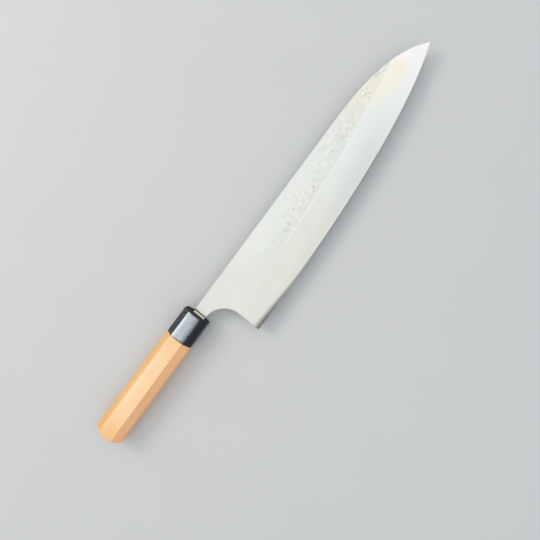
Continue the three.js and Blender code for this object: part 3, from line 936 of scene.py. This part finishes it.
def make_cladding(form, node, side, materials):
    """One side of the blade: flat, bevel, eased arrises and the walls down to the core."""
    sizes = form.sizes
    bm = new_mesh("from_ridge", "from_edge", "ease")
    end_x = form.tip_x - CLADDING_STOP

    def ease_at(x, y):
        return min(sizes.ease, EASE_SHARE * (form.half(x, y) - form.core_half(x)))

    def spot(x, y, ease=0.0):
        shown = Vector((x + form.lean(x, y), y, form.mid_z + side * form.half(x, y)))
        heights = {"from_ridge": y - form.ridge(x), "from_edge": y - form.edge(x)}
        return shown, {**heights, "ease": ease}

    def top(x):
        return form.spine(x) - ease_at(x, form.spine(x))

    reach = sizes.choil_radius + sizes.ease
    first = math.asin((form.seam_x + SEAM_EASE - form.choil_x) / reach)
    neck = []
    for i in range(CHOIL_STATIONS + 1):
        angle = between(first, math.pi / 2, i / CHOIL_STATIONS)
        x = form.choil_x + reach * math.sin(angle)
        low = form.choil_y + reach * math.cos(angle)
        row = []
        for j in range(FLAT_ROWS + 1):
            y = between(top(x), low, j / FLAT_ROWS)
            rim = SEAM_EASE if i == 0 else sizes.ease
            row.append(spot(x, y, rim if i == 0 or j in (0, FLAT_ROWS) else 0.0))
        neck.append(row)
    lay_sheet(bm, neck, PEAR_SKIN)

    stations = blade_stations(form.foot_x, end_x)
    meeting = next(i for i, x in enumerate(stations) if form.ridge(x) >= top(x))
    flat = []
    for x in stations[: meeting + 1]:
        upper, low = top(x), min(form.ridge(x), top(x))
        row = []
        for j in range(FLAT_ROWS + 1):
            y = between(upper, low, j / FLAT_ROWS)
            row.append(spot(x, y, ease_at(x, y) if j == 0 else 0.0))
        flat.append(row)
    lay_sheet(bm, flat, PEAR_SKIN)

    bevel = []
    for i, x in enumerate(stations):
        upper, low = min(form.ridge(x), top(x)), form.core_line(x, side)
        row = []
        for j in range(BEVEL_ROWS + 1):
            y = between(upper, low, (j / BEVEL_ROWS) ** ROW_BUNCHING)
            on_rim = i in (0, BLADE_STATIONS) or (j == 0 and i >= meeting)
            row.append(spot(x, y, ease_at(x, y) if on_rim and j < BEVEL_ROWS else 0.0))
        bevel.append(row)
    lay_sheet(bm, bevel, STONE_GROUND)

    bmesh.ops.remove_doubles(bm, verts=bm.verts, dist=MERGE_DISTANCE)
    close_rim(bm, side, lambda x: form.mid_z + side * (form.core_half(x) + WELD_GAP), BURNISHED)
    set_piece(bm, node + "_ground", node, materials)


class GYUTO_OT_claddings(bpy.types.Operator):
    """Build both steel claddings of the blade"""

    bl_idname = "gyuto.claddings"
    bl_label = "Blade claddings"

    def execute(self, context):
        form = BladeForm(context.scene.gyuto_blade)
        look = context.scene.gyuto_finish
        materials = [pear_skin_steel(look), stone_ground_steel(look), burnished_steel()]
        for node, side in SIDES.items():
            make_cladding(form, node, side, materials)
        return {"FINISHED"}


class GYUTO_OT_core(bpy.types.Operator):
    """Build the hard core steel with its honed edge"""

    bl_idname = "gyuto.core"
    bl_label = "Core steel"

    def execute(self, context):
        form = BladeForm(context.scene.gyuto_blade)
        sizes = form.sizes
        bm = new_mesh("from_edge")
        foot_x = form.choil_x + sizes.choil_radius
        rings = []

        def ring(x, right, left):
            points = [*right, *reversed(left)]
            return [Vector((x + form.lean(x, y), y, form.mid_z + z)) for y, z in points]

        # The wall over the choil has as many points as a station of the bevel.
        across = CORE_ROWS + 3
        first = math.asin((form.seam_x - form.choil_x) / sizes.choil_radius)
        for i in range(CHOIL_STATIONS + 1):
            angle = between(first, math.pi / 2, i / CHOIL_STATIONS)
            x = form.choil_x + sizes.choil_radius * math.sin(angle)
            low = form.choil_y + sizes.choil_radius * math.cos(angle)
            half = form.core_half(x)
            wall = [(low, half * (1 - j / across)) for j in range(across)]
            right = [(form.spine(x), half), *wall]
            rings.append(ring(x, right, [(y, -z) for y, z in right]))
        for x in blade_stations(foot_x, form.tip_x - CORE_STOP):
            faces = []
            for side in (1, -1):
                half = form.core_half(x)
                show, edge = form.core_line(x, side), form.edge(x)
                strip = min(sizes.micro_bevel, (show - edge) / 3)
                rows = [(form.spine(x), half), (form.ridge(x), half), (show + CORE_STEP, half)]
                for j in range(CORE_ROWS):
                    y = between(show, edge + strip, j / (CORE_ROWS - 1))
                    rows.append((y, form.half(x, y)))
                rows.append((edge, sizes.edge_land / 2))
                faces.append([(y, side * z) for y, z in rows])
            rings.append(ring(x, *faces))
        skin(bm, rings)
        above = bm.verts.layers.float["from_edge"]
        for vert in bm.verts:
            vert[above] = vert.co.y - form.edge(vert.co.x)
        look = context.scene.gyuto_finish
        set_piece(bm, "core_steel_honed", "core_steel", [honed_core_steel(look)])
        return {"FINISHED"}


class HandleForm:
    """The handle's octagon along its axis, from the frame's boxes and the handle's sizes."""

    def __init__(self, sizes):
        ferrule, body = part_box("ferrule"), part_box("handle_body")
        self.sizes = sizes
        self.front_x, self.ferrule_back = ferrule[1].x, ferrule[0].x
        self.joint_x, self.butt_x = body[1].x, body[0].x
        self.axis_y = (body[0].y + body[1].y) / 2
        self.axis_z = (body[0].z + body[1].z) / 2
        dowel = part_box("dowel")
        self.dowel_back = dowel[0].x
        self.bore = (dowel[1].y - dowel[0].y) / 2 + GLUE_GAP
        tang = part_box("tang")
        self.neck_y = (tang[0].y + tang[1].y) / 2

    def place(self, x, pairs, middle_y=None):
        """Pairs of Y and Z round the axis as points at x."""
        y0 = self.axis_y if middle_y is None else middle_y
        return [Vector((x, y0 + y, self.axis_z + z)) for y, z in pairs]

    def octagon(self, x, inset=0.0):
        """The eased octagon at x with its crowned facets, drawn in by inset."""
        s = self.sizes
        share = (self.front_x - x) / (self.front_x - self.butt_x)
        w = between(s.front_width, s.butt_width, share) / 2
        t = between(s.front_depth, s.butt_depth, share) / 2
        # The widest facet bulges back out to the frame's size.
        inset += (w - s.facet_cut) ** 2 / (2 * s.facet_crown)
        w, t = w - inset, t - inset
        k = s.facet_cut - inset * (2 - math.sqrt(2))
        corners = [(w, t - k), (w - k, t), (k - w, t), (-w, t - k)]
        corners += [(-y, -z) for y, z in corners]
        return rounded(corners, s.arris_radius, CORNER_POINTS, FACET_POINTS, s.facet_crown)

    def ring(self, x, inset=0.0):
        """The octagon at x as points."""
        return self.place(x, self.octagon(x, inset))

    def circle(self, x, radius):
        """A round ring with as many points as the octagon's."""
        turns = [2 * math.pi * (i + 0.5) / RING_POINTS for i in range(RING_POINTS)]
        return self.place(x, [(radius * math.cos(a), radius * math.sin(a)) for a in turns])

    def slot(self, x, height, width, radius):
        """A rounded slot round the tang with as many points as the octagon's."""
        ring = rounded(rectangle(height, width), radius, 2 * CORNER_POINTS, 2 * FACET_POINTS)
        return self.place(x, ring, self.neck_y)


def rectangle(height, width):
    """The corners of a rectangle round the axis, along Y and Z, counter-clockwise."""
    y, z = height / 2, width / 2
    return [(y, z), (-y, z), (-y, -z), (y, -z)]


def rounded(corners, radius, count, along=0, crown=None):
    """A polygon's outline, counter-clockwise.

    Each corner is an arc of count points and each side has along points, bulged to the crown's radius.
    """
    arcs = []
    for i, corner in enumerate(corners):
        here = Vector(corner)
        back = (Vector(corners[i - 1]) - here).normalized()
        ahead = (Vector(corners[(i + 1) % len(corners)]) - here).normalized()
        half_angle = back.angle(ahead) / 2
        centre = here + (back + ahead).normalized() * radius / math.sin(half_angle)
        start = here + back * radius / math.tan(half_angle) - centre
        first = math.atan2(start.y, start.x)
        turns = [first + (math.pi - 2 * half_angle) * j / (count - 1) for j in range(count)]
        arcs.append([centre + Vector((math.cos(a), math.sin(a))) * radius for a in turns])
    made = []
    for arc, following in zip(arcs, arcs[1:] + arcs[:1]):
        made += arc
        side = following[0] - arc[-1]
        out = Vector((side.y, -side.x)).normalized()
        rise = side.length_squared / (2 * crown) if crown else 0.0
        for j in range(1, along + 1):
            t = j / (along + 1)
            made.append(arc[-1] + side * t + out * rise * t * (1 - t))
    return made


# How much each point of the octagon lies on a ridge, from 0 on a facet to 1.
ROUND = [math.sin(math.pi * i / (CORNER_POINTS - 1)) for i in range(CORNER_POINTS)]
ARRIS = (ROUND + [0.0] * FACET_POINTS) * FACETS


class GYUTO_OT_ferrule(bpy.types.Operator):
    """Build the horn ferrule with its chamfered front and slotted mouth"""

    bl_idname = "gyuto.ferrule"
    bl_label = "Horn ferrule"

    def execute(self, context):
        form = HandleForm(context.scene.gyuto_handle)
        s = form.sizes
        bm = new_mesh()
        front, back = form.front_x, form.ferrule_back
        c = s.front_chamfer
        # The chamfer's second half mirrors its first.
        chamfer = [(behind * c, inset * c) for behind, inset in CHAMFER_SHARES]
        chamfer += [(inset, behind) for behind, inset in reversed(chamfer)]
        rings = [form.ring(back, inset) for inset in JOINT_INSETS]
        rings.append(form.ring(back + FERRULE_EASE))
        for i in range(1, FERRULE_RINGS):
            rings.append(form.ring(between(back, front - chamfer[0][0], i / FERRULE_RINGS)))
        for behind, inset in chamfer:
            rings.append(form.ring(front - behind, inset))
        for depth, wider, corner in (*MOUTH_EASE, (s.ferrule_wall, 0.0, MOUTH_CORNER)):
            sides = (s.mouth_height + wider, s.mouth_width + wider)
            rings.append(form.slot(front - depth, *sides, corner))
        rings.append(form.circle(front - s.ferrule_wall, form.bore))
        rings.append(form.circle(back, form.bore))
        skin(bm, rings, closed=True)
        look = context.scene.gyuto_finish
        set_piece(bm, "ferrule_buffed", "ferrule", [polished_horn(look, s.facet_cut)])
        return {"FINISHED"}


class GYUTO_OT_handle_body(bpy.types.Operator):
    """Build the wooden handle with its eight facets and domed butt"""

    bl_idname = "gyuto.handle_body"
    bl_label = "Handle body"

    def execute(self, context):
        form = HandleForm(context.scene.gyuto_handle)
        s = form.sizes
        bm = new_mesh("arris")
        joint, butt = form.joint_x, form.butt_x
        pilot_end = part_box("tang_bedding")[0].x - GLUE_GAP
        bore_end = form.dowel_back - BORE_SPARE
        rings = [form.circle(x, s.pilot_radius) for x in (pilot_end, bore_end)]
        rings += [form.circle(x, form.bore) for x in (bore_end, joint)]
        joint_ring = len(rings)
        face, corner = JOINT_INSETS
        rings.append(form.place(joint, form.octagon(joint, face)))
        rings.append(form.place(joint - BODY_CORNER, form.octagon(joint, corner)))

        def on_dome(y, z):
            return Vector((butt + s.dome_radius - math.sqrt(s.dome_radius**2 - y * y - z * z), y, z))

        def on_facets(x, j):
            return Vector((x, *form.octagon(x)[j]))

        rim = [on_dome(y, z) for y, z in form.octagon(butt)]
        # Each point meets the dome at its own X, so its octagon is taken there.
        rim = [on_dome(*on_facets(p.x, j).yz) for j, p in enumerate(rim)]
        axis = Vector((0, form.axis_y, form.axis_z))
        ends = [p.x + s.dome_ease for p in rim]
        for i in range(BODY_RINGS + 1):
            places = [between(joint - face, end, i / BODY_RINGS) for end in ends]
            rings.append([axis + on_facets(x, j) for j, x in enumerate(places)])
        dome_ring = len(rings)
        inner = []
        for p in rim:
            k = 1 - s.dome_ease / math.hypot(p.y, p.z)
            inner.append(on_dome(p.y * k, p.z * k))
        for i in range(1, DOME_EASE_RINGS):
            t = i / DOME_EASE_RINGS
            ring = []
            for j, p in enumerate(rim):
                start = on_facets(ends[j], j)
                ring.append(axis + start * (1 - t) ** 2 + p * 2 * t * (1 - t) + inner[j] * t**2)
            rings.append(ring)
        for i in range(DOME_RINGS):
            # The last ring stays a little open for its cap.
            k = 1 - i / (DOME_RINGS + 0.2)
            rings.append([axis + on_dome(p.y * k, p.z * k) for p in inner])
        made = skin(bm, rings)
        layer = bm.verts.layers.float["arris"]
        # The painted highlight and shade on the ridges fade out over the last rings before the dome.
        straight = made[joint_ring:dome_ring]
        for i, ring in enumerate(reversed(straight)):
            for vert, number in zip(ring, ARRIS):
                vert[layer] = number * min(i / RIDGE_FADE_RINGS, 1.0)
        look = context.scene.gyuto_finish
        set_piece(bm, "handle_body_sanded", "handle_body", [sanded_magnolia(look)])
        return {"FINISHED"}


class GYUTO_OT_tang(bpy.types.Operator):
    """Build the tang, bare for a short way in front of the ferrule"""

    bl_idname = "gyuto.tang"
    bl_label = "Tang"

    def execute(self, context):
        form = HandleForm(context.scene.gyuto_handle)
        s = form.sizes
        bm = new_mesh()
        low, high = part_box("tang")
        rings = []

        def ring(x, share, grow=0.0):
            along = (high.x - x) / (high.x - low.x)
            h = between(s.tang_height, s.tang_end_height, along) * share + grow
            t = between(s.tang_thickness, s.tang_end_thickness, along) + grow
            middle = between(form.neck_y, form.axis_y, along)
            return form.place(x, rounded(rectangle(h, t), TANG_CORNER, CORNER_POINTS), middle)

        shrink, length = POINT_EASE
        rings.append(ring(low.x, POINT_SHARE, -shrink))
        rings.append(ring(low.x + length, POINT_SHARE))
        for i in range(TANG_RINGS + 1):
            x = between(low.x + s.tang_point, high.x - LAST_TANG_RING, i / TANG_RINGS)
            rings.append(ring(x, 1.0))
        shrink, length = TANG_SEAM_EASE
        rings.append(ring(high.x - length, 1.0))
        rings.append(ring(high.x, 1.0, -shrink))
        skin(bm, rings)
        look = context.scene.gyuto_finish
        set_piece(bm, "tang_forged", "tang", [tinted_tang_steel(look)])
        return {"FINISHED"}


class GYUTO_OT_mouth_seal(bpy.types.Operator):
    """Build the wax that closes the ferrule's mouth"""

    bl_idname = "gyuto.mouth_seal"
    bl_label = "Mouth seal"

    def execute(self, context):
        form = HandleForm(context.scene.gyuto_handle)
        s = form.sizes
        bm = new_mesh()
        low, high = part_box("mouth_seal")
        outer = (high.y - low.y, high.z - low.z)
        inner = (s.tang_height + 2 * GLUE_GAP, s.tang_thickness + 2 * GLUE_GAP)
        # Share of the way from the ferrule to the tang, and share of the dip there.
        front = [(0, 0), (0.25, 0.7), (0.5, 1), (0.75, 0.7), (1, 0)]
        rings = []
        for share, sunk in front:
            sides = [between(a, b, share) for a, b in zip(outer, inner)]
            rings.append(form.slot(high.x - sunk * WAX_DIP, *sides, WAX_CORNER))
        for sides in (inner, outer):
            rings.append(form.slot(low.x, *sides, WAX_CORNER))
        skin(bm, rings, closed=True)
        look = context.scene.gyuto_finish
        set_piece(bm, "mouth_seal_poured", "mouth_seal", [sealing_wax(look)])
        return {"FINISHED"}


class GYUTO_OT_inner_parts(bpy.types.Operator):
    """Finish the dowel and the bedding inside the handle"""

    bl_idname = "gyuto.inner_parts"
    bl_label = "Dowel and bedding"

    def execute(self, context):
        for node, material in {"dowel": turned_beech(), "tang_bedding": cast_resin()}.items():
            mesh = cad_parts[node].data
            mesh.materials.clear()
            mesh.materials.append(material)
        return {"FINISHED"}


def lamp(name, place, aim, sides, radiance, tint):
    """A rectangular soft lamp at a place, aimed at a point, of a given radiance."""
    data = bpy.data.lights.new(name, "AREA")
    data.shape = "RECTANGLE"
    data.size, data.size_y = sides
    data.energy = radiance * math.pi * sides[0] * sides[1]
    data.color = linear(tint)[:3]
    made = bpy.data.objects.new(name, data)
    made.location = place
    made.rotation_euler = (Vector(aim) - Vector(place)).to_track_quat("-Z", "Y").to_euler()
    bpy.context.scene.collection.objects.link(made)
    return made


class GYUTO_OT_stage(bpy.types.Operator):
    """Set the plain floor, the soft lamps and the camera"""

    bl_idname = "gyuto.stage"
    bl_label = "Floor, lamps and camera"

    def execute(self, context):
        scene = context.scene
        stage = scene.gyuto_stage
        scene.view_settings.view_transform = "Standard"

        bm = bmesh.new()
        bmesh.ops.create_circle(bm, cap_ends=True, radius=FLOOR_RADIUS, segments=FLOOR_SIDES)
        floor_mesh = bpy.data.meshes.new("floor")
        bm.to_mesh(floor_mesh)
        bm.free()
        material, tree = new_material("floor_matt_paint")
        place = add(tree, "TexCoord", out="Object")
        mottle = add(tree, "TexNoise", {"Vector": place, "Scale": 1 / (60 * MM), "Detail": 2.0})
        tone = add(tree, "MixRGB", {0: mottle, 1: stage.floor, 2: linear("#CACDCF")})
        paint = add(tree, "BsdfPrincipled", {"Base Color": tone, "Roughness": 0.9})
        add(tree, "OutputMaterial", {"Surface": paint})
        floor_mesh.materials.append(material)
        floor = bpy.data.objects.new("floor", floor_mesh)
        scene.collection.objects.link(floor)

        world = bpy.data.worlds.new("soft_sky")
        world.use_nodes = True
        tree = world.node_tree
        tree.nodes.clear()
        way = add(tree, "TexCoord", out="Generated")
        up = add(tree, "SeparateXYZ", {0: way}, out="Z")
        lift = add(tree, "MapRange", {0: up, 1: 0.0, 2: 0.85}, **SMOOTH)
        tone = add(tree, "MixRGB", {0: lift, 1: stage.horizon, 2: stage.zenith})
        sky = add(tree, "Background", {"Color": tone, "Strength": 1.0})
        add(tree, "OutputWorld", {"Surface": sky})
        scene.world = world

        centre = (cad_box[0] + cad_box[1]) / 2
        key = lamp("key_softbox", KEY_PLACE, centre, KEY_SIDES, KEY_RADIANCE, "#FFF7EC")
        # A filter keeps the lamp itself out of the reflections, so that the steel never burns out.
        key.visible_glossy = False
        card = lamp("ferrule_card", CARD_PLACE, CARD_AIM, CARD_SIDES, CARD_RADIANCE, "#E6F1FA")
        # Flags keep the card's light on the horn alone.
        lit = bpy.data.collections.new("lit_by_ferrule_card")
        lit.objects.link(bpy.data.objects["ferrule_buffed"])
        card.light_linking.receiver_collection = lit

        camera = bpy.data.objects.new("camera", bpy.data.cameras.new("camera"))
        camera.location = stage.camera_place
        camera.rotation_mode = "ZYX"
        camera.rotation_euler = stage.camera_turn
        camera.data.sensor_width = SENSOR_WIDTH
        camera.data.lens = stage.focal_length
        camera.data.clip_start = NEAREST_VIEW
        scene.collection.objects.link(camera)
        scene.camera = camera
        return {"FINISHED"}


PIECES = (
    GYUTO_OT_claddings,
    GYUTO_OT_core,
    GYUTO_OT_tang,
    GYUTO_OT_mouth_seal,
    GYUTO_OT_ferrule,
    GYUTO_OT_handle_body,
    GYUTO_OT_inner_parts,
    GYUTO_OT_stage,
)
GROUPS = {
    "gyuto_blade": BladeSizes,
    "gyuto_handle": HandleSizes,
    "gyuto_finish": Finishes,
    "gyuto_stage": StageSizes,
}


class GYUTO_PT_pieces(bpy.types.Panel):
    """The knife's pieces and the sizes and colours they are made from"""

    bl_idname = "GYUTO_PT_pieces"
    bl_label = "Gyuto knife"
    bl_space_type = "VIEW_3D"
    bl_region_type = "UI"
    bl_category = "Gyuto"

    def draw(self, context):
        for operator in PIECES:
            self.layout.operator(operator.bl_idname)
        for name in GROUPS:
            group = getattr(context.scene, name)
            column = self.layout.column()
            for key in group.__annotations__:
                column.prop(group, key)


def register():
    for made in (*GROUPS.values(), *PIECES, GYUTO_PT_pieces):
        bpy.utils.register_class(made)
    for name, group in GROUPS.items():
        setattr(bpy.types.Scene, name, PointerProperty(type=group))


def unregister():
    for name in GROUPS:
        delattr(bpy.types.Scene, name)
    for made in reversed((*GROUPS.values(), *PIECES, GYUTO_PT_pieces)):
        bpy.utils.unregister_class(made)


def main():
    register()
    bpy.ops.gyuto.claddings()
    bpy.ops.gyuto.core()
    bpy.ops.gyuto.tang()
    bpy.ops.gyuto.mouth_seal()
    bpy.ops.gyuto.ferrule()
    bpy.ops.gyuto.handle_body()
    bpy.ops.gyuto.inner_parts()
    bpy.ops.gyuto.stage()


if __name__ == "__main__":
    main()
